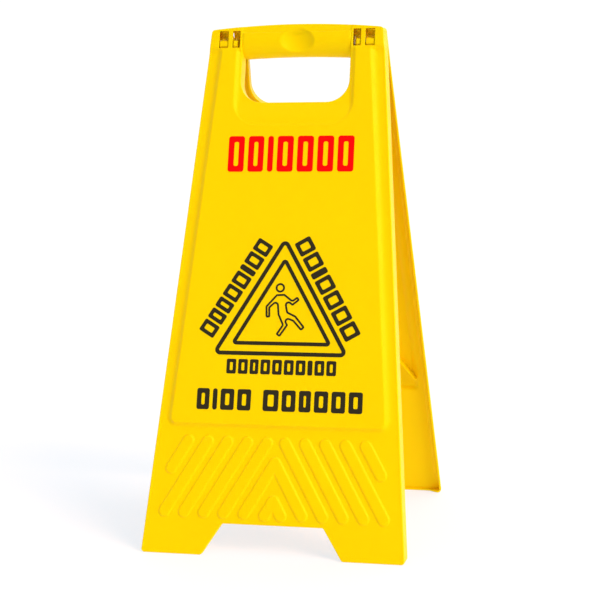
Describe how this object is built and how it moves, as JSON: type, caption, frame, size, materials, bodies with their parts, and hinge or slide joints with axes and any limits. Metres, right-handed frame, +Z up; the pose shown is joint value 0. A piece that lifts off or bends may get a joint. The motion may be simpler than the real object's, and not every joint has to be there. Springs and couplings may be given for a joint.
{
  "type": "wet floor sign",
  "caption": "Folding A-frame floor safety sign: tapered moulded leaves with raised panels, chevron ribs, a foot notch, and a hand opening under a grip, hinged at the top.",
  "frame": {"origin": "on the floor, midway between the four feet of the open sign", "axes": "+Z up, X along the hinge axis, the front leaf faces -Y and the rear leaf faces +Y"},
  "size_m": [0.3068, 0.3558, 0.6027],
  "materials": {
    "front_leaf_plastic": "satin moulded polypropylene",
    "rear_leaf_plastic": "satin moulded polypropylene",
    "pin_plastic": "smooth moulded plastic",
    "red_ink": "screen printed ink",
    "black_ink": "screen printed ink"
  },
  "bodies": {
    "front": {"front_leaf": "front_leaf_plastic", "hinge_pin_left": "pin_plastic", "hinge_pin_right": "pin_plastic", "front_print_heading_bar": "red_ink", "front_print_triangle_outer": "black_ink", "front_print_triangle_inner": "black_ink", "front_print_figure_head": "black_ink", "front_print_figure_body": "black_ink", "front_print_left_label": "black_ink", "front_print_right_label": "black_ink", "front_print_lower_label": "black_ink", "front_print_bottom_label": "black_ink"},
    "rear": {"rear_leaf": "rear_leaf_plastic", "rear_print_heading_bar": "red_ink", "rear_print_triangle_outer": "black_ink", "rear_print_triangle_inner": "black_ink", "rear_print_figure_head": "black_ink", "rear_print_figure_body": "black_ink", "rear_print_left_label": "black_ink", "rear_print_right_label": "black_ink", "rear_print_lower_label": "black_ink", "rear_print_bottom_label": "black_ink"}
  },
  "joints": [
    {"name": "fold", "type": "hinge", "parent": "front", "child": "rear", "pos_m": [0, 0, 0.57635], "axis": [-1, 0, 0], "range_deg": [0, 31.55]}
  ]
}
